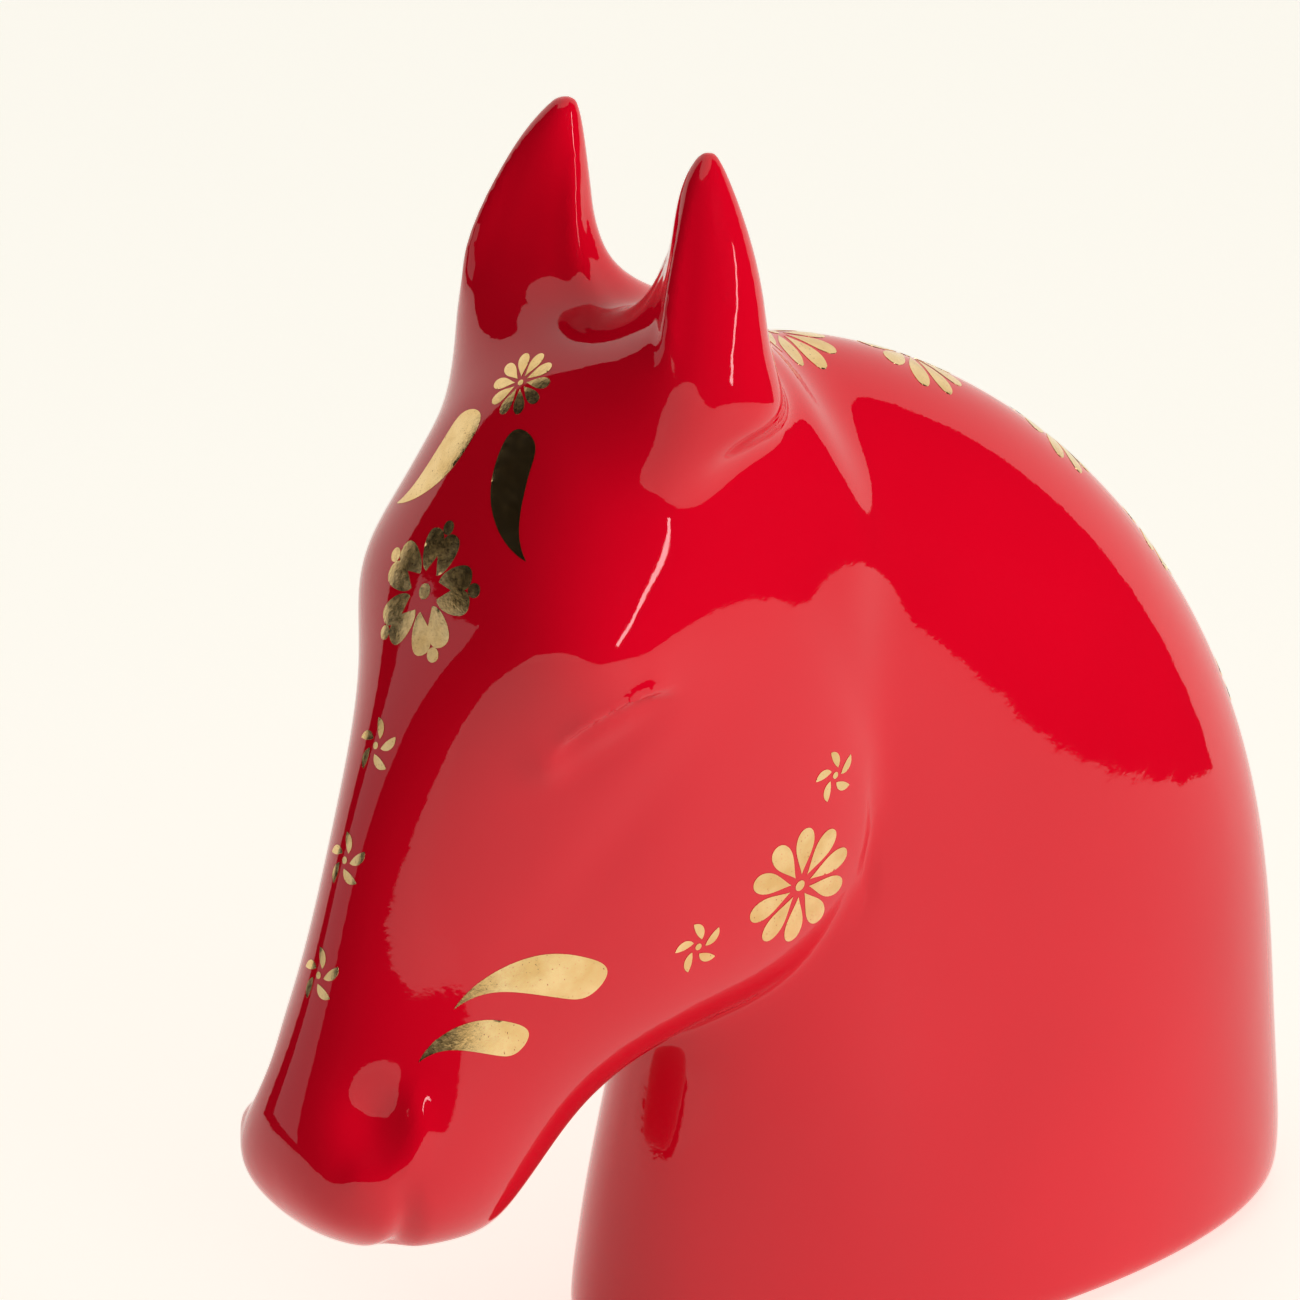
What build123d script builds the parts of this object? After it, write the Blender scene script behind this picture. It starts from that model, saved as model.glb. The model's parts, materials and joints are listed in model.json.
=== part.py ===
from build123d import *
import math
import os
from typing import NamedTuple

# Horse's head and neck as one hollow ceramic bust, 226 mm tall, standing on an oval foot.
# Millimetres. Origin on the table under the middle of the foot, +Z up, the horse faces -Y,
# and its left side is +X. The shape is the same on both sides of the YZ plane.

FELT_THICKNESS = 1.2
FELT_INSET = 5.0
FOOT_Z = FELT_THICKNESS
FOOT_EDGE_RADIUS = 4.0
WALL = 5.0
POUR_HOLE_RADIUS = 8.0
GOLD_THICKNESS = 0.3


class Station(NamedTuple):
    """One cross-section of a casting, in a plane that holds the X direction."""

    near: tuple  # (y, z) where the section starts on the mid-plane
    far: tuple  # (y, z) where it ends on the mid-plane
    half_width: float
    widest: float  # share of the way from near to far
    near_fullness: float  # 0.55 is an ellipse, more is squarer
    far_fullness: float


# From the foot up to the withers and over the crest to behind the ears.
NECK = (
    Station((-76.5, FOOT_Z), (76.5, FOOT_Z), 38.5, 0.50, 0.56, 0.58),
    Station((-72.5, 30), (76.5, 33), 37, 0.50, 0.56, 0.57),
    Station((-67, 54), (73.5, 66), 34, 0.50, 0.56, 0.57),
    Station((-63.5, 70), (64, 98), 31.5, 0.51, 0.56, 0.57),
    Station((-62.5, 82), (48, 126), 29.5, 0.52, 0.56, 0.56),
    Station((-64.5, 94), (23.5, 152.5), 27.5, 0.52, 0.56, 0.56),
    Station((-70.5, 103), (-9.5, 174), 26, 0.52, 0.56, 0.56),
    Station((-79.5, 109), (-44.5, 184), 24, 0.50, 0.56, 0.57),
)
# From the poll over the forehead, down the nose to the lips and chin.
HEAD = (
    Station((-51.5, 190), (-37.5, 138), 22, 0.50, 0.60, 0.60),
    Station((-67.5, 196), (-30.5, 124), 27.5, 0.45, 0.64, 0.60),
    Station((-86.5, 190), (-24.5, 114), 30.5, 0.40, 0.68, 0.62),
    Station((-101, 173), (-19.5, 104), 32, 0.38, 0.72, 0.66),
    Station((-112, 152.5), (-17.5, 93), 31.5, 0.41, 0.72, 0.70),
    Station((-122.5, 128), (-21.5, 81), 29, 0.50, 0.60, 0.70),
    Station((-129.5, 108.5), (-36.5, 70), 26.5, 0.54, 0.54, 0.68),
    Station((-135.5, 88), (-63.5, 64.5), 23, 0.52, 0.56, 0.64),
    Station((-141.5, 72), (-82.5, 57), 21.5, 0.45, 0.58, 0.60),
    Station((-145.5, 59), (-92.5, 49), 21.5, 0.42, 0.62, 0.60),
    Station((-142.5, 48), (-99.5, 43), 19, 0.45, 0.62, 0.60),
    Station((-132.5, 41), (-105.5, 40), 12, 0.50, 0.60, 0.60),
)


class Ring(NamedTuple):
    """One level cross-section of an ear."""

    centre: tuple
    half_across: float  # along X
    half_along: float  # along Y


# The left ear, from its root to its tip.
EAR = (
    Ring((22.5, -68.5, 180.0), 11.5, 12.5),
    Ring((23.5, -70.5, 190.0), 11.5, 11.5),
    Ring((23.5, -71, 199.0), 10.0, 10.0),
    Ring((22.8, -70, 208.0), 8.0, 8.0),
    Ring((21.4, -68.8, 217.0), 5.0, 5.2),
    Ring((20.1, -67.7, 223.0), 2.4, 2.6),
    Ring((19.5, -67.1, 225.5), 1.0, 1.0),
)


def section_wire(station, inset=0.0):
    """Four arcs, near to widest to far and back, mirrored across the mid-plane."""
    (near_y, near_z), (far_y, far_z) = station.near, station.far
    length = math.hypot(far_y - near_y, far_z - near_z)
    run_y = (far_y - near_y) / length
    run_z = (far_z - near_z) / length
    width = station.half_width - inset
    middle = station.widest * length

    def quarter(side, tip, fullness):
        """An arc from the tip on the mid-plane out to the widest point."""
        corners = (
            (0, tip),
            (width * fullness, tip),
            (width, middle + (tip - middle) * fullness),
            (width, middle),
        )
        return Edge.make_bezier(*[(side * x, near_y + run_y * t, near_z + run_z * t) for x, t in corners])

    start, end = inset, length - inset
    return Wire(
        [
            quarter(1, start, station.near_fullness),
            quarter(1, end, station.far_fullness),
            quarter(-1, end, station.far_fullness),
            quarter(-1, start, station.near_fullness),
        ]
    )


def loft_through(stations, inset=0.0):
    return Solid.make_loft([section_wire(station, inset) for station in stations])


def neck_form():
    form = loft_through(NECK)
    foot_edges = form.edges().filter_by(lambda edge: edge.center().Z < FOOT_Z + 0.01)
    return form.fillet(FOOT_EDGE_RADIUS, foot_edges)


def neck_hollow():
    """The inside of the neck, closed off above the foot by a floor of the wall's thickness."""
    inside = loft_through(NECK, WALL)
    floor = Pos(0, 0, FOOT_Z + WALL / 2) * Box(200, 200, WALL)
    return inside - floor


def ear_form(side):
    rings = []
    for ring in EAR:
        x, y, z = ring.centre
        rings.append(Wire([Plane(origin=(side * x, y, z)) * Edge.make_ellipse(ring.half_across, ring.half_along)]))
    return Solid.make_loft(rings)


def castings(neck, head):
    """The four mouldings that are luted together: none overlaps another."""
    hollow_of_neck = neck_hollow()
    # The head's hollow stops above the lips, which are solid.
    hollow_of_head = loft_through(HEAD[:-2], WALL)
    pour_hole = Pos(0, 0, FOOT_Z + WALL / 2) * Cylinder(POUR_HOLE_RADIUS, 2 * WALL)
    parts = {
        "neck_casting": neck - hollow_of_neck - head - pour_hole,
        "head_casting": head - hollow_of_head - hollow_of_neck,
    }
    for name, side in (("left_ear", 1), ("right_ear", -1)):
        parts[name] = ear_form(side) - head - neck
    return parts


def felt_pad():
    """The oval pad glued under the foot, which also closes the pour hole."""
    foot = NECK[0]
    half_length = (foot.far[0] - foot.near[0]) / 2
    oval = Ellipse(foot.half_width - FELT_INSET, half_length - FELT_INSET)
    return extrude(oval, FELT_THICKNESS)


# Gold transfers: flat outlines in millimetres, with +Y up the surface that they are laid on.


def polar(radius, degrees):
    """A point at a clockwise angle from straight up."""
    return radius * math.sin(math.radians(degrees)), radius * math.cos(math.radians(degrees))


def spline_face(points):
    """A smooth outline that starts and ends in one sharp corner."""
    return Face(Wire([Edge.make_spline([(x, y, 0) for x, y in [*points, points[0]]])]))


def dot(radius, centre=(0, 0)):
    return Face(Wire([Edge.make_circle(radius)])).moved(Pos(*centre))


def daisy(radius, petals=10):
    """Teardrop petals, narrow at the centre and rounded outside, around a dot."""
    profile = ((0.13, 0.52), (0.175, 0.80), (0.09, 0.97))
    right = [(radius * x, radius * y) for x, y in profile]
    left = [(-x, y) for x, y in reversed(right)]
    petal = spline_face([(0, 0.2 * radius), *right, (0, radius), *left])
    return [dot(0.09 * radius), *[Rot(0, 0, 360 * k / petals) * petal for k in range(petals)]]


def star(radius, petals=5):
    """Pointed petals that lean round like a pinwheel, around a dot."""
    inner, tip = polar(0.3 * radius, 95), polar(radius, 55)
    outer_bulge, inner_bulge = polar(0.74 * radius, 84), polar(0.66 * radius, 56)
    petal = Face(
        Wire(
            [
                Edge.make_three_point_arc((*inner, 0), (*outer_bulge, 0), (*tip, 0)),
                Edge.make_three_point_arc((*tip, 0), (*inner_bulge, 0), (*inner, 0)),
            ]
        )
    )
    return [dot(0.13 * radius), *[Rot(0, 0, 360 * k / petals) * petal for k in range(petals)]]


def blossom(radius, petals=5):
    """Two-lobed petals with a notch inside, so that a star shows between them and the centre."""

    def at(share, degrees):
        return polar(share * radius, degrees)

    lobe = (at(0.62, 31), at(0.86, 19), at(0.85, 8))
    other_lobe = (at(0.85, -8), at(0.86, -19), at(0.62, -31))
    edge = [at(0.28, 24), *lobe, at(0.74, 0)]
    other_edge = [at(0.74, 0), *other_lobe, at(0.28, -24)]
    notch = at(0.50, 0)
    petal = Face(
        Wire(
            [
                Edge.make_spline([(x, y, 0) for x, y in edge]),
                Edge.make_spline([(x, y, 0) for x, y in other_edge]),
                Edge.make_line((*other_edge[-1], 0), (*notch, 0)),
                Edge.make_line((*notch, 0), (*edge[0], 0)),
            ]
        )
    )
    tip_dot = dot(0.10 * radius, at(0.90, 0))
    shapes = [dot(0.11 * radius)]
    for k in range(petals):
        turn = Rot(0, 0, 360 * k / petals)
        shapes += [turn * petal, turn * tip_dot]
    return shapes


def leaf(length, head_radius, arch, side=1):
    """A curved drop along +Y: its round head at the origin, its point at the far end."""
    outer = (
        (-head_radius, 0),
        (0, -head_radius),
        (head_radius, 0),
        (arch + 0.80 * head_radius, 0.50 * length),
    )
    inner = ((arch - 0.80 * head_radius, 0.50 * length), (-0.75 * head_radius, 0.2 * length))
    return [spline_face([(side * x, y) for x, y in [(0, length), *inner, *outer]])]


class Motif(NamedTuple):
    """A transfer, and the line along which it is pressed on to the casting."""

    name: str
    shapes: list
    start: tuple  # a point outside the casting
    toward: tuple  # direction from there to the casting
    up: tuple  # direction that the outline's +Y takes on the surface


DAISY_RADIUS = 11.3
CREST_ANGLES = (-15.5, 5, 36, 64, 90)  # degrees from straight up, about the crest's centre
CREST_CENTRE = (0, -14.5, 100)
REACH = 9.0  # how far an outline is swept either way to meet the curved surface


def face_motifs():
    """Everything on the mid-plane of the head, and the two leaves on the forehead."""
    motifs = [
        Motif("forehead_daisy", daisy(6.2), (0, -191.6, 285.5), (0, 1, -1), (0, 0, 1)),
        Motif("brow_blossom", blossom(12.6), (0, -200, 153), (0, 1, 0), (0, 0, 1)),
    ]
    for name, height in (("upper", 128), ("middle", 109), ("lower", 89.5)):
        motifs.append(Motif(f"nose_star_{name}", star(4.8), (0, -200, height), (0, 1, 0), (0, 0, 1)))
    for name, side in (("left", 1), ("right", -1)):
        shapes = leaf(19.5, 3.7, 2.4, side)
        motifs.append(
            Motif(f"{name}_forehead_leaf", shapes, (side * 7, -200, 177), (0, 1, 0), (side * 0.5, 0, -1))
        )
    return motifs


def crest_motifs():
    motifs = []
    for number, angle in enumerate(CREST_ANGLES, start=1):
        out = (0, math.sin(math.radians(angle)), math.cos(math.radians(angle)))
        start = tuple(c + 120 * d for c, d in zip(CREST_CENTRE, out))
        toward = tuple(-d for d in out)
        motifs.append(Motif(f"crest_daisy_{number}", daisy(DAISY_RADIUS), start, toward, (0, -1, 0.3)))
    return motifs


def cheek_motifs():
    """The left cheek's transfers; the right cheek has their mirror image."""
    inward = (-1, 0, 0)
    return [
        Motif("cheek_daisy", daisy(DAISY_RADIUS), (60, -53.5, 94), inward, (0, 0, 1)),
        Motif("cheek_star_upper", star(4.8), (60, -47.5, 113.5), inward, (0, 0, 1)),
        Motif("cheek_star_lower", star(4.9), (60, -75, 88), inward, (0, 0, 1)),
        Motif("jaw_leaf_long", leaf(24.5, 3.6, 3.2), (60, -96.8, 87.5), inward, (0, -1, -0.09)),
        Motif("jaw_leaf_short", leaf(17, 2.9, 2.4), (60, -110.7, 79), inward, (0, -1, -0.09)),
    ]


def pressed_on(motif, casting):
    """The transfer as an even film of gold that follows the casting's surface."""
    hits = casting.find_intersection_points(Axis(motif.start, motif.toward))
    start = Vector(*motif.start)
    spot, normal = min(hits, key=lambda hit: (hit[0] - start).length)
    if normal.dot(Vector(*motif.toward)) > 0:
        normal = -normal
    place = Plane(origin=spot, x_dir=Vector(*motif.up).cross(normal), z_dir=normal)
    swept = [extrude(place * face, REACH, both=True) for face in motif.shapes]
    raised = casting.moved(Pos(*(normal * GOLD_THICKNESS)))
    films = []
    for shape in swept:
        film = (shape & raised) - casting
        films += film.solids()
    return Compound(children=films)


def transfers(neck, head):
    parts = {motif.name: pressed_on(motif, head) for motif in face_motifs()}
    for motif in crest_motifs():
        parts[motif.name] = pressed_on(motif, neck)
    for motif in cheek_motifs():
        film = pressed_on(motif, head)
        parts[f"left_{motif.name}"] = film
        parts[f"right_{motif.name}"] = mirror(film, Plane.YZ)
    return parts


def main():
    os.makedirs("parts", exist_ok=True)
    neck, head = neck_form(), loft_through(HEAD)
    parts = castings(neck, head) | {"felt_pad": felt_pad()} | transfers(neck, head)
    for name, shape in parts.items():
        export_step(shape, f"parts/{name}.step")


if __name__ == "__main__":
    main()
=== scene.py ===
import itertools
import json
import math

import bmesh
import bpy
import numpy as np
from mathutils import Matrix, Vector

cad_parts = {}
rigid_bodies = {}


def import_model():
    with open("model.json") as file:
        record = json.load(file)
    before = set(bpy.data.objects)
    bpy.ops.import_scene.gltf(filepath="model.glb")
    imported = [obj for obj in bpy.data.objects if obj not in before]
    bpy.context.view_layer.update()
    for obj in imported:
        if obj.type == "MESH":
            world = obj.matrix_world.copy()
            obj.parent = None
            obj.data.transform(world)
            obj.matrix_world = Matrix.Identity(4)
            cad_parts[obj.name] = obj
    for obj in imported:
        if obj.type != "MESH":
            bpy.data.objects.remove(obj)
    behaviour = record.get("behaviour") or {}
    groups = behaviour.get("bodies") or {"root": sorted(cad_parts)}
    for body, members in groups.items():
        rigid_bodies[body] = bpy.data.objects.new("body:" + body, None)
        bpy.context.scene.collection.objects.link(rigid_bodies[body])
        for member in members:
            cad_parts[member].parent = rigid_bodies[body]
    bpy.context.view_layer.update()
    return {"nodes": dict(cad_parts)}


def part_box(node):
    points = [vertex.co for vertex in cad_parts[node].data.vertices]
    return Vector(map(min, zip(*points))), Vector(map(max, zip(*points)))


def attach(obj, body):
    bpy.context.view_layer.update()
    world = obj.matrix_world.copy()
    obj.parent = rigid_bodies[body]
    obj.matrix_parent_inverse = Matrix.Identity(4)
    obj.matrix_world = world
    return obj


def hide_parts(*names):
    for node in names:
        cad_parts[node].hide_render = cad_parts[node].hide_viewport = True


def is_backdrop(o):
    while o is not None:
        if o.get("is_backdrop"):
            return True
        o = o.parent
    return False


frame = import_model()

import openvdb
from mathutils import Vector

MM = 0.001
EARS = ("left_ear", "right_ear")
CASTINGS = ("neck_casting", "head_casting", *EARS)


# ---------------------------------------------------------------- the clay: a signed distance field, in mm

GRID = 1.05  # mm between samples
MARGIN = 16  # samples round the object
BAND = 14.0  # mm either side of the surface that distances reach

# Fillets where the castings are luted together, in mm.
JOWL_FILLET = 0.8
POLL_FILLET = 15.5
EAR_FILLET_BEHIND = 6
EAR_FILLET_AHEAD = 17

# How far the smoothing reaches, in mm.
CRISP_BLUR = 0.9
SOFT_BLUR = 2.6
BLUR_REACH = 2.7  # standard deviations, beyond which the blur's weights are left out

# The stopper that closes the pour hole, in mm.
STOPPER_RADIUS = 14
STOPPER_HALF_HEIGHT = 3

NEWTON_STEPS = 4  # to bring a point onto the surface

CORNERS = np.array([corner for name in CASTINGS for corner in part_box(name)]) / MM
FIRST = np.floor(CORNERS.min(0) / GRID).astype(int) - MARGIN
LAST = np.ceil(CORNERS.max(0) / GRID).astype(int) + MARGIN
SHAPE = tuple(LAST - FIRST + 1)
ORIGIN = FIRST * GRID
SPACING = openvdb.createLinearTransform(GRID)


def grid_axes():
    """The three coordinates of the samples, each shaped to broadcast over the grid."""
    x, y, z = (ORIGIN[a] + GRID * np.arange(SHAPE[a], dtype=np.float32) for a in range(3))
    return x[:, None, None], y[None, :, None], z[None, None, :]


def mesh_arrays(mesh):
    """A mesh's vertices, in mm, and its triangles."""
    mesh.calc_loop_triangles()
    points = np.empty(len(mesh.vertices) * 3, np.float32)
    mesh.vertices.foreach_get("co", points)
    corners = np.empty(len(mesh.loop_triangles) * 3, np.int32)
    mesh.loop_triangles.foreach_get("vertices", corners)
    return points.reshape(-1, 3) / MM, corners.reshape(-1, 3).astype(np.uint32)


def distances(points, triangles=None, quads=None):
    """The signed distance from a closed surface at each sample, clipped to the band."""
    level = openvdb.FloatGrid.createLevelSetFromPolygons(
        points.astype(np.float32),
        triangles=triangles,
        quads=quads,
        transform=SPACING,
        halfWidth=BAND / GRID,
    )
    samples = np.empty(SHAPE, np.float32)
    level.copyToArray(samples, ijk=tuple(int(i) for i in FIRST))
    return samples


def surface(samples):
    """The zero surface of the samples as points and quads."""
    level = openvdb.FloatGrid(float(BAND))
    level.transform = SPACING
    level.copyFromArray(samples, ijk=tuple(int(i) for i in FIRST))
    return level.convertToQuads(0.0)


def outer_part(points, quads):
    """Only the connected surface that holds the highest point."""
    label = np.arange(len(points))
    while True:
        lowest = label[quads].min(1)
        before = label.copy()
        for corner in range(4):
            np.minimum.at(label, quads[:, corner], lowest)
        label = label[label]
        if (label == before).all():
            break
    keep = label == label[points[:, 2].argmax()]
    index = np.cumsum(keep) - 1
    return points[keep], index[quads[keep[quads[:, 0]]]].astype(np.uint32)


def joined(a, b, radius):
    """Two solids as one, with a fillet of about this radius where they meet."""
    reach = np.maximum(radius - np.abs(a - b), 0)
    return np.minimum(a, b) - reach * reach / (4 * radius)


def blurred(samples, sigma):
    """Gaussian smoothing; sigma in mm."""
    sigma = sigma / GRID
    reach = int(math.ceil(BLUR_REACH * sigma))
    weights = [math.exp(-0.5 * (k / sigma) ** 2) for k in range(-reach, reach + 1)]
    total = sum(weights)
    for axis in range(3):
        out = np.zeros_like(samples)
        for k, weight in zip(range(-reach, reach + 1), weights):
            out += np.roll(samples, k, axis) * np.float32(weight / total)
        samples = out
    return samples


def ramp(value, start, end):
    """0 before start, 1 after end, smooth between."""
    t = np.clip((value - start) / (end - start), 0, 1)
    return t * t * (3 - 2 * t)


def bump(distance, width):
    """A bell curve, 1 where the distance is 0."""
    return np.exp(-0.5 * (distance / width) ** 2)


def luted_castings():
    """The castings as one solid field, with fillets where they meet."""
    x, y, z = grid_axes()
    parts = {name: distances(*mesh_arrays(frame["nodes"][name].data)) for name in CASTINGS}
    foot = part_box("neck_casting")[0].z / MM
    radius = np.sqrt(x * x + y * y)
    level = np.abs(z - foot - STOPPER_HALF_HEIGHT)
    stopper = np.maximum(radius - STOPPER_RADIUS, level - STOPPER_HALF_HEIGHT)
    neck = np.minimum(parts["neck_casting"], stopper)
    # The head flows into the neck behind the ears, and meets it in a crease at the jowl.
    high = ramp(z, 105, 165)
    solid = joined(neck, parts["head_casting"], JOWL_FILLET + (POLL_FILLET - JOWL_FILLET) * high)
    # Each ear flows into the poll and forehead, and is tucked in behind.
    for name in EARS:
        centre = np.array((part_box(name)[0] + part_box(name)[1]) / 2) / MM
        side = np.sign(centre[0])
        ahead = -0.75 * (y - centre[1]) - 0.65 * side * (x - centre[0])
        fillet = EAR_FILLET_BEHIND + (EAR_FILLET_AHEAD - EAR_FILLET_BEHIND) * ramp(ahead, -9, 7)
        solid = joined(solid, parts[name], fillet)
    return solid


def modelled_clay():
    """The outside of the luted castings, smoothed."""
    x, y, z = grid_axes()
    points, quads = outer_part(*surface(luted_castings()))
    sharp = distances(points, quads=quads)
    crisp = blurred(sharp, CRISP_BLUR)
    soft = blurred(sharp, SOFT_BLUR)
    # Softer over the brow, nose, crest and throat than at the jowl's crease, ears and foot.
    ears = ramp(z, 193, 203)
    foot = 1 - ramp(z, 8, 20)
    jowl = bump(np.hypot(y + 44, z - 82), 24) * ramp(np.abs(x), 10, 18)
    crispness = np.maximum(np.maximum(ears, foot), jowl)
    clay = crisp * crispness + soft * (1 - crispness)
    # The tips of the ears stay as sharp as they were pressed.
    tips = ramp(z, 211, 219)
    return sharp * tips + clay * (1 - tips)


def basis(t):
    """Cubic B-spline weights and their slopes at t past a sample."""
    u = 1 - t
    weights = (u**3 / 6, (3 * t**3 - 6 * t**2 + 4) / 6, (3 * u**3 - 6 * u**2 + 4) / 6, t**3 / 6)
    slopes = (-(u**2) / 2, (3 * t**2 - 4 * t) / 2, (4 * u - 3 * u**2) / 2, t**2 / 2)
    return weights, slopes


def sampled(samples, points):
    """The field's smooth value and its gradient at points."""
    place = (points - ORIGIN) / GRID
    base = np.floor(place).astype(int)
    weights, slopes = basis(place - base)
    value = np.zeros(len(points))
    gradient = np.zeros((len(points), 3))
    for i, j, k in itertools.product(range(4), repeat=3):
        near = samples[base[:, 0] + i - 1, base[:, 1] + j - 1, base[:, 2] + k - 1]
        wx, wy, wz = weights[i][:, 0], weights[j][:, 1], weights[k][:, 2]
        value += near * wx * wy * wz
        gradient[:, 0] += near * slopes[i][:, 0] * wy * wz
        gradient[:, 1] += near * wx * slopes[j][:, 1] * wz
        gradient[:, 2] += near * wx * wy * slopes[k][:, 2]
    return value, gradient / GRID


def on_clay(points, clay):
    """The nearest points of the clay's surface, and the normals there."""
    points = points.astype(float)
    for _ in range(NEWTON_STEPS):
        value, gradient = sampled(clay, points)
        size = np.linalg.norm(gradient, axis=1, keepdims=True)
        points = points - gradient / np.maximum(size, 0.3) ** 2 * value[:, None]
    return points, gradient / size


# ---------------------------------------------------------------- carving: detail finer than the field

# The horse faces -Y, its left side is +X, and every place is in mm.
NOSTRIL = (15.5, -135.5, 67.5)
EAR_BASE = 199  # Z, where the ears come clear of the head
EAR_TIP = 225.5  # Z
# The edge of the jowl from below the ear downwards, as Y and Z.
JOWL_EDGE = ((-38.5, 118), (-35.8, 99.5), (-36.3, 86.2), (-39, 79))
# Three places on the eyelid's edge, from its inner end to its outer end: Y, then Z.
LID_EDGE = ((-103.9, -96.6, -84.4), (130.2, 136.6, 138.0))


def mirrored(points):
    """Points with both sides of the object folded onto its left."""
    return np.abs(points[:, 0]), points[:, 1], points[:, 2]


def mound(points, centre, widths):
    """A soft mound, 1 at its centre, of one width or of one along each axis."""
    offset = (np.stack(mirrored(points), 1) - centre) / widths
    return np.exp(-0.5 * (offset**2).sum(1))


def slanted_dip(y, z, middle, slope, thickness, length):
    """A long soft dip whose middle line rises backwards."""
    off_line = (z - middle[1]) - slope * (y - middle[0])
    return bump(off_line, thickness) * bump(y - middle[0], length)


def closed_eye(points):
    """The lid's edge over its shadow, and the two soft hollows below it."""
    x, y, z = mirrored(points)
    face_side = ramp(x, 12, 20)
    above = z - np.polyval(np.polyfit(*LID_EDGE, 2), y)
    taper = ramp(y, -105, -99) * (1 - ramp(y, -91, -82)) * face_side
    crease = np.tanh(above / 0.6) * np.exp(-np.abs(above) / 2.6)
    under = slanted_dip(y, z, (-95, 129), 0.55, 2.6, 6.5) * face_side
    hollow = slanted_dip(y, z, (-93, 110), 0.9, 6.0, 9.0) * face_side
    inner_corner = mound(points, (23.5, -104.5, 127.5), 2.6)
    return 1.8 * taper * crease - under - hollow + 0.8 * inner_corner


def muzzle(points):
    """The nostrils, the mouth's notch and the bulges of the upper lip and chin."""
    x, y, z = mirrored(points)
    offset = np.stack((x, y, z), 1) - NOSTRIL
    reach = np.linalg.norm(offset * (1.0, 1.0, 0.8), axis=1)
    behind = ramp(0.55 * offset[:, 0] + 0.6 * offset[:, 1] - 0.6 * offset[:, 2], -1, 4)
    hole = bump(reach, 3.9)
    rim = behind * bump(reach - 7.2, 1.8)
    notch = bump(y + 130.5 + 0.16 * (z - 45), 1.7) * (1 - ramp(z, 47, 62)) * ramp(x, 7, 13)
    lip = mound(points, (13, -140, 53), (6, 5, 5))
    chin = mound(points, (9, -112, 41), (6, 6, 4))
    return -2.4 * hole + rim - 1.5 * notch + 1.1 * lip + 0.8 * chin


def ear_scoops(points):
    """Each ear's shallow front scoop with its two edges, and the dish between the ears."""
    x, y, z = mirrored(points)
    lift = (z - EAR_BASE) / (EAR_TIP - EAR_BASE)
    out, back = x - (23.5 - 4 * lift), y - (-71 + 3.9 * lift)
    angle = np.degrees(np.arctan2(-0.83 * out + 0.55 * back, -0.55 * out - 0.83 * back))
    level = ramp(z, 191, 201) * (1 - ramp(z, 205, 225))
    scoop = bump(angle, 30) * level
    edges = bump(np.abs(angle) - 50, 8) * level
    poll = mound(points, (0, -72, 197), (8, 6, 6))
    return -2.3 * scoop + 1.3 * edges - 2.0 * poll


def jowl_crease(points):
    """The line where the jaw lies over the neck."""
    x, y, z = mirrored(points)
    away = np.full(len(points), 1e3)
    for start, end in zip(JOWL_EDGE, JOWL_EDGE[1:]):
        run = np.subtract(end, start)
        along = np.clip(((y - start[0]) * run[0] + (z - start[1]) * run[1]) / (run @ run), 0, 1)
        off_line = np.hypot(y - start[0] - along * run[0], z - start[1] - along * run[1])
        away = np.minimum(away, off_line)
    length = ramp(z, 79, 90) * (1 - ramp(z, 94, 116))
    return -0.45 * ramp(x, 10, 17) * length * bump(away, 1.1)


def carved(points):
    """How far the modeller raised (+) or cut (-) the surface, in mm."""
    brow = 4.0 * mound(points, (29, -101, 147), (12, 11, 10))
    return brow + closed_eye(points) + muzzle(points) + ear_scoops(points) + jowl_crease(points)


# ---------------------------------------------------------------- pieces

SHARP_EDGE = math.radians(50)  # above which two faces meet in a hard edge


def placed_piece(name, points, faces, material):
    """A smooth-shaded piece on the object's one body, from points in mm."""
    mesh = bpy.data.meshes.new(name)
    mesh.from_pydata((points * MM).tolist(), [], faces)
    mesh.validate()
    mesh.polygons.foreach_set("use_smooth", np.ones(len(mesh.polygons), bool))
    mesh.materials.append(material)
    piece = bpy.data.objects.new(name, mesh)
    bpy.context.scene.collection.objects.link(piece)
    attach(piece, "root")
    return piece


def glazed_skin(clay):
    """The glazed surface of all four castings."""
    points, quads = outer_part(*surface(clay))
    points, normals = on_clay(points, clay)
    points = points + normals * carved(points)[:, None]
    skin = placed_piece("glazed_skin", points, quads.tolist(), red_glaze())
    skin.data.set_sharp_from_angle(angle=SHARP_EDGE)
    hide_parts(*CASTINGS)


# ---------------------------------------------------------------- gold: each film laid on the clay

FILM_EDGE = 0.9  # mm, above which a film's edges are cut in half
FILM_CUTS = 4  # times that is done
FILM_RISE = 0.07  # mm from the glaze to the outside of a film
FILM_SINK = -0.12  # mm from the glaze to its hidden underside


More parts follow.
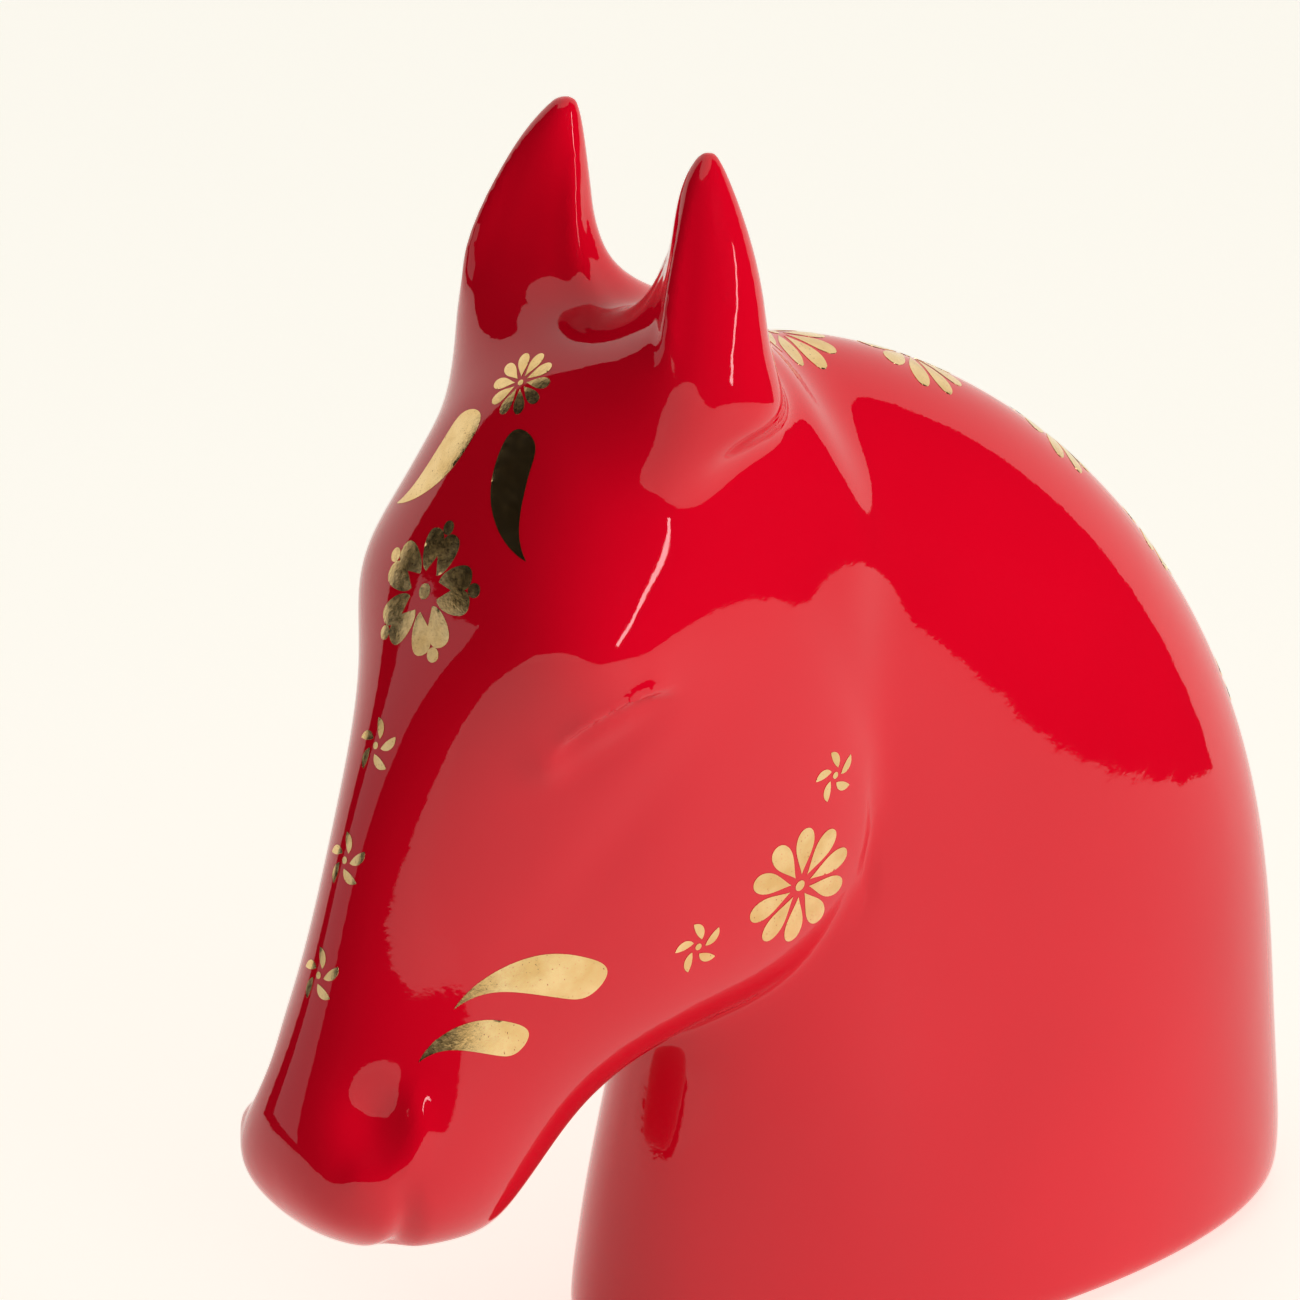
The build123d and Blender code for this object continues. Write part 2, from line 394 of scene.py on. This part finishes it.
def gold_film(name, clay, metal):
    """The CAD film again, bent to the modelled surface and fine enough to follow it."""
    film = bmesh.new()
    film.from_mesh(frame["nodes"][name].data)
    bmesh.ops.remove_doubles(film, verts=film.verts, dist=1e-6)
    bmesh.ops.triangulate(film, faces=film.faces)
    for _ in range(FILM_CUTS):
        long = [edge for edge in film.edges if edge.calc_length() > FILM_EDGE * MM]
        bmesh.ops.subdivide_edges(film, edges=long, cuts=1)
        cut_faces = [face for face in film.faces if len(face.verts) > 3]
        bmesh.ops.triangulate(film, faces=cut_faces)
    film.verts.index_update()
    film.normal_update()
    points = np.array([vertex.co for vertex in film.verts]) / MM
    facing = np.array([vertex.normal for vertex in film.verts])
    faces = [[vertex.index for vertex in face.verts] for face in film.faces]
    film.free()
    laid, normals = on_clay(points, clay)
    outside = (facing * normals).sum(1) > 0
    rise = np.where(outside, FILM_RISE, FILM_SINK)
    laid = laid + normals * (carved(laid) + rise)[:, None]
    piece = placed_piece(name + "_gold", laid, faces, metal)
    piece.data.set_sharp_from_angle(angle=SHARP_EDGE)
    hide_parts(name)


# ---------------------------------------------------------------- materials

# Where a mix node keeps its colours among its sockets.
FIRST_COLOUR = 6
SECOND_COLOUR = 7
MIXED_COLOUR = 2


class Nodes:
    """A material's node tree, built in short calls."""

    def __init__(self, name):
        self.material = bpy.data.materials.new(name)
        self.material.use_nodes = True
        self.tree = self.material.node_tree
        self.shader = self.tree.nodes["Principled BSDF"]
        self.place = self.add("ShaderNodeTexCoord").outputs["Object"]

    def add(self, kind, **settings):
        """A new node with its settings."""
        node = self.tree.nodes.new(kind)
        for key, value in settings.items():
            setattr(node, key, value)
        return node

    def link(self, output, socket):
        """Feed a socket from an output."""
        self.tree.links.new(output, socket)

    def noise(self, per_mm, detail, roughness=0.5):
        """Noise of about 0 to 1, with this many features to the millimetre."""
        node = self.add("ShaderNodeTexNoise")
        node.inputs["Scale"].default_value = per_mm / MM
        node.inputs["Detail"].default_value = detail
        node.inputs["Roughness"].default_value = roughness
        self.link(self.place, node.inputs["Vector"])
        return node.outputs["Fac"]

    def between(self, value, start, end, low, high):
        """The value mapped from one range to another, clamped."""
        node = self.add("ShaderNodeMapRange")
        for socket, number in zip(node.inputs[1:5], (start, end, low, high)):
            socket.default_value = number
        self.link(value, node.inputs["Value"])
        return node.outputs["Result"]

    def mixed(self, factor, first, second):
        """The first colour where the factor is 0, and the second where it is 1."""
        node = self.add("ShaderNodeMix", data_type="RGBA")
        self.link(factor, node.inputs["Factor"])
        for index, colour in ((FIRST_COLOUR, first), (SECOND_COLOUR, second)):
            if isinstance(colour, tuple):
                node.inputs[index].default_value = (*colour, 1)
            else:
                self.link(colour, node.inputs[index])
        return node.outputs[MIXED_COLOUR]

    def bumps(self, *layers):
        """Bump from pairs of a height, 0 to 1, and what 1 stands for in mm."""
        normal = None
        for height, depth in layers:
            node = self.add("ShaderNodeBump")
            node.inputs["Distance"].default_value = depth * MM
            self.link(height, node.inputs["Height"])
            if normal:
                self.link(normal, node.inputs["Normal"])
            normal = node.outputs["Normal"]
        self.link(normal, self.shader.inputs["Normal"])

    def colour(self, output):
        """Feed the shader's colour."""
        self.link(output, self.shader.inputs["Base Color"])

    def polish(self, per_mm, smoothest, roughest):
        """Roughness that drifts between two values."""
        drift = self.between(self.noise(per_mm, 4), 0.3, 0.7, smoothest, roughest)
        self.link(drift, self.shader.inputs["Roughness"])

    def set(self, **values):
        """Constants on the shader's own sockets."""
        for key, value in values.items():
            self.shader.inputs[key.replace("_", " ")].default_value = value


def red_glaze():
    """Wet-looking red enamel: slightly wavy, a touch deeper where it ran thick."""
    nodes = Nodes("red_glaze")
    pooled = nodes.between(nodes.noise(0.012, 2), 0.35, 0.65, 0, 1)
    nodes.colour(nodes.mixed(pooled, (0.64, 0.0005, 0.014), (0.58, 0.0005, 0.012)))
    nodes.polish(0.4, 0.028, 0.05)
    nodes.bumps((nodes.noise(0.045, 2), 0.14), (nodes.noise(0.55, 2), 0.010))
    nodes.set(IOR=1.5)
    return nodes.material


def burnished_gold():
    """Fired gold lustre with pinholes and faint brush drag."""
    nodes = Nodes("burnished_gold")
    drift = nodes.between(nodes.noise(0.18, 4), 0.35, 0.65, 0, 1)
    metal = nodes.mixed(drift, (0.86, 0.62, 0.30), (0.74, 0.49, 0.20))
    pits = nodes.between(nodes.noise(2.6, 2), 0.68, 0.74, 0, 1)
    nodes.colour(nodes.mixed(pits, metal, (0.20, 0.06, 0.02)))
    nodes.polish(0.9, 0.13, 0.24)
    nodes.bumps((nodes.noise(0.12, 2), 0.10), (nodes.noise(1.3, 3), 0.02))
    nodes.set(Metallic=1.0)
    return nodes.material


def pressed_felt():
    """Dark green felt: matted fibres and a little lint."""
    nodes = Nodes("pressed_felt")
    mottle = nodes.between(nodes.noise(0.35, 5, 0.7), 0.3, 0.7, 0, 1)
    green = nodes.mixed(mottle, (0.010, 0.030, 0.016), (0.022, 0.060, 0.034))
    lint = nodes.between(nodes.noise(1.8, 4, 0.8), 0.66, 0.72, 0, 1)
    nodes.colour(nodes.mixed(lint, green, (0.16, 0.20, 0.16)))
    nodes.bumps((nodes.noise(0.9, 6, 0.75), 0.35), (nodes.noise(3.0, 3, 0.8), 0.12))
    nodes.set(Roughness=0.95, Sheen_Weight=0.5, Sheen_Roughness=0.6)
    return nodes.material


def pale_table():
    """Cream board that gives off light of its own, so that the shadows on it stay light."""
    nodes = Nodes("pale_table")
    nodes.colour(nodes.mixed(nodes.noise(0.004, 3), (0.90, 0.88, 0.82), (0.93, 0.91, 0.85)))
    nodes.set(Roughness=0.6, Emission_Color=(1.0, 0.972, 0.885, 1), Emission_Strength=0.73)
    return nodes.material


# ---------------------------------------------------------------- the felt pad

PAD_SIDES = 180
PAD_RINGS = 24
PAD_ROUNDING = 0.35  # mm
PAD_WAVE = 0.05  # mm that the top dips where the felt is thinner


def pad_ring(reach, corners, angles, sign):
    """One oval of the pad's top (sign 1) or underside (-1), from 0 at its middle to 1 at its edge."""
    low, high = corners
    centre, half = (high + low) / 2, (high - low) / 2
    rounded = 0.6 * PAD_ROUNDING * ramp(reach, 1 - 2.2 * PAD_ROUNDING / half[0], 1.0)
    level = np.full(PAD_SIDES, (high if sign > 0 else low)[2] - sign * rounded)
    if sign > 0 and reach < 0.98:
        level = level - PAD_WAVE * np.abs(np.sin(5 * angles + 9 * reach))
    x = centre[0] + half[0] * reach * np.cos(angles)
    y = centre[1] + half[1] * reach * np.sin(angles)
    return np.stack([x, y, level], 1)


def felt_pad():
    """The oval pad under the foot: rounded edge, slightly uneven thickness."""
    corners = tuple(np.array(corner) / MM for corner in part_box("felt_pad"))
    angles = np.linspace(0, 2 * math.pi, PAD_SIDES, endpoint=False)
    reaches = [1 - (1 - step / PAD_RINGS) ** 2 for step in range(1, PAD_RINGS + 1)]
    rings = [pad_ring(reach, corners, angles, 1) for reach in reaches]
    rings += [pad_ring(reach, corners, angles, -1) for reach in reversed(reaches)]
    centre = sum(corners) / 2
    bottom, top = (np.array([[centre[0], centre[1], corner[2]]]) for corner in corners)
    points = np.concatenate([top, *rings, bottom])
    starts = [1 + ring * PAD_SIDES for ring in range(len(rings))]
    faces = []
    for start, below in zip(starts, starts[1:]):
        for k in range(PAD_SIDES):
            beside = (k + 1) % PAD_SIDES
            faces.append((start + k, below + k, below + beside, start + beside))
    for k in range(PAD_SIDES):
        beside = (k + 1) % PAD_SIDES
        faces.append((0, 1 + k, 1 + beside))
        faces.append((len(points) - 1, starts[-1] + beside, starts[-1] + k))
    pad = placed_piece("felt_oval", points, faces, pressed_felt())
    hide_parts("felt_pad")


# ---------------------------------------------------------------- studio


MIDDLE = Vector((0, -0.03, 0.12))  # m, where the lamps point
AIM = Vector((0, -0.0644, 0.1314))  # m, where the camera points


def direction(azimuth, elevation):
    """A unit vector from the object towards a place round it; azimuth 0 is -Y and 90 is +X."""
    a, e = math.radians(azimuth), math.radians(elevation)
    return Vector((math.sin(a) * math.cos(e), -math.cos(a) * math.cos(e), math.sin(e)))


def camera():
    """At the photograph's angle, with plain colours."""
    bpy.context.scene.view_settings.view_transform = "Standard"
    lens = bpy.data.cameras.new("camera")
    lens.sensor_width = 36
    lens.lens = 209.9
    lens.clip_start = 0.05
    lens.clip_end = 20
    cam = bpy.data.objects.new("camera", lens)
    back = direction(52, 21)
    cam.location = AIM + back * 1.3
    cam.rotation_euler = back.to_track_quat("Z", "Y").to_euler()
    bpy.context.scene.collection.objects.link(cam)
    bpy.context.scene.camera = cam


def table_top():
    """The pale floor."""
    bpy.ops.mesh.primitive_grid_add(x_subdivisions=8, y_subdivisions=8, size=6.0, location=(0, 0, 0))
    floor = bpy.context.object
    floor.name = "table_top"
    floor.data.materials.append(pale_table())
    floor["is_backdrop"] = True


def studio_air():
    """The pale room: bright to the camera and in reflections, but dim as a light."""
    world = bpy.data.worlds.new("studio_air")
    bpy.context.scene.world = world
    world.use_nodes = True
    tree = world.node_tree
    room = tree.nodes["Background"]
    room.inputs["Color"].default_value = (0.965, 0.94, 0.86, 1)
    room.inputs["Strength"].default_value = 1.0
    dim = tree.nodes.new("ShaderNodeBackground")
    dim.inputs["Color"].default_value = (1.0, 0.97, 0.95, 1)
    dim.inputs["Strength"].default_value = 0.10
    rays = tree.nodes.new("ShaderNodeLightPath")
    mix = tree.nodes.new("ShaderNodeMixShader")
    tree.links.new(rays.outputs["Is Diffuse Ray"], mix.inputs[0])
    tree.links.new(room.outputs[0], mix.inputs[1])
    tree.links.new(dim.outputs[0], mix.inputs[2])
    tree.links.new(mix.outputs[0], tree.nodes["World Output"].inputs["Surface"])


# Where the curtain hangs: degrees round the object, and metres from it.
CURTAIN_TRACK = ((-58, 0.60), (8, 0.85), (24, 1.50), (46, 1.50), (62, 0.80), (78, 0.56), (172, 0.50))
CURTAIN_END = 171  # degrees, at the hem
CURTAIN_SLANT = 14  # degrees less at the top
CURTAIN_TOP = math.radians(62)  # elevation from the object
CURTAIN_COLUMNS = 120
CURTAIN_LEVELS = 30
FLOOR_GAP = 0.001  # m under the curtain
FRONT_GAP = 0.13  # m more, between the object and the camera


def curtain_point(column, level):
    """A place on the curtain, from 0 to 1 along it and up it."""
    bearings, radii = zip(*CURTAIN_TRACK)
    last = CURTAIN_END - CURTAIN_SLANT * level
    bearing = bearings[0] + (last - bearings[0]) * column
    radius = float(np.interp(bearing, bearings, radii))
    hem = FLOOR_GAP + FRONT_GAP * float(ramp(bearing, 10, 26) * (1 - ramp(bearing, 44, 74)))
    top = MIDDLE.z + radius * math.tan(CURTAIN_TOP)
    angle = math.radians(bearing)
    return math.sin(angle) * radius, MIDDLE.y - math.cos(angle) * radius, hem + (top - hem) * level


def dark_curtain():
    """A dark curtain round the front and left, which only reflections see."""
    levels = np.linspace(0, 1, CURTAIN_LEVELS)
    columns = np.linspace(0, 1, CURTAIN_COLUMNS)
    points = [curtain_point(column, level) for level in levels for column in columns]
    faces = []
    for row in range(CURTAIN_LEVELS - 1):
        for k in range(CURTAIN_COLUMNS - 1):
            corner = row * CURTAIN_COLUMNS + k
            above = corner + CURTAIN_COLUMNS
            faces.append((corner, corner + 1, above + 1, above))
    mesh = bpy.data.meshes.new("dark_curtain")
    mesh.from_pydata(points, [], faces)
    curtain = bpy.data.objects.new("dark_curtain", mesh)
    bpy.context.scene.collection.objects.link(curtain)
    nodes = Nodes("black_cloth")
    nodes.set(Base_Color=(0.004, 0.003, 0.003, 1), Roughness=1.0)
    curtain.data.materials.append(nodes.material)
    curtain.visible_camera = False
    curtain.visible_diffuse = False
    curtain.visible_shadow = False
    curtain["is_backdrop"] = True


def object_pieces():
    """A collection of everything that isn't the stage, for lamps that spare the table."""
    lit = bpy.data.collections.new("lit_pieces")
    for piece in bpy.data.objects:
        if piece.type == "MESH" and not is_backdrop(piece):
            lit.objects.link(piece)
    return lit


def lamp(name, place, distance, size, watts, roll=0.0):
    """A rectangular lamp at an azimuth and elevation, aimed at the object's middle."""
    light = bpy.data.lights.new(name, "AREA")
    light.shape = "RECTANGLE"
    light.size, light.size_y = size
    light.energy = watts
    holder = bpy.data.objects.new(name, light)
    towards = direction(*place)
    holder.location = MIDDLE + towards * distance
    holder.rotation_euler = towards.to_track_quat("Z", "Y").to_euler()
    holder.rotation_euler.rotate_axis("Z", math.radians(roll))
    holder.visible_camera = False
    bpy.context.scene.collection.objects.link(holder)
    return holder


def lamps():
    """Soft lamps that reflections don't see, and two narrow ones that they do."""
    key = lamp("key", (112, 34), 1.5, (1.1, 0.9), 18)
    fill = lamp("fill", (60, 80), 1.6, (1.6, 1.6), 4.5)
    back = lamp("back", (250, 32), 1.5, (1.1, 0.9), 12)
    for soft in (key, fill, back):
        soft.visible_glossy = False
    key.light_linking.receiver_collection = object_pieces()
    back.light_linking.receiver_collection = key.light_linking.receiver_collection
    lamp("strip", (107, 16), 0.5, (0.024, 0.42), 0.28, roll=-40)
    lamp("card", (-32, 4), 0.57, (0.28, 0.22), 0.13)


def main():
    """Build the object and its studio."""
    camera()
    clay = modelled_clay()
    glazed_skin(clay)
    metal = burnished_gold()
    for name in sorted(frame["nodes"]):
        if name not in CASTINGS and name != "felt_pad":
            gold_film(name, clay, metal)
    felt_pad()
    table_top()
    studio_air()
    dark_curtain()
    lamps()


main()
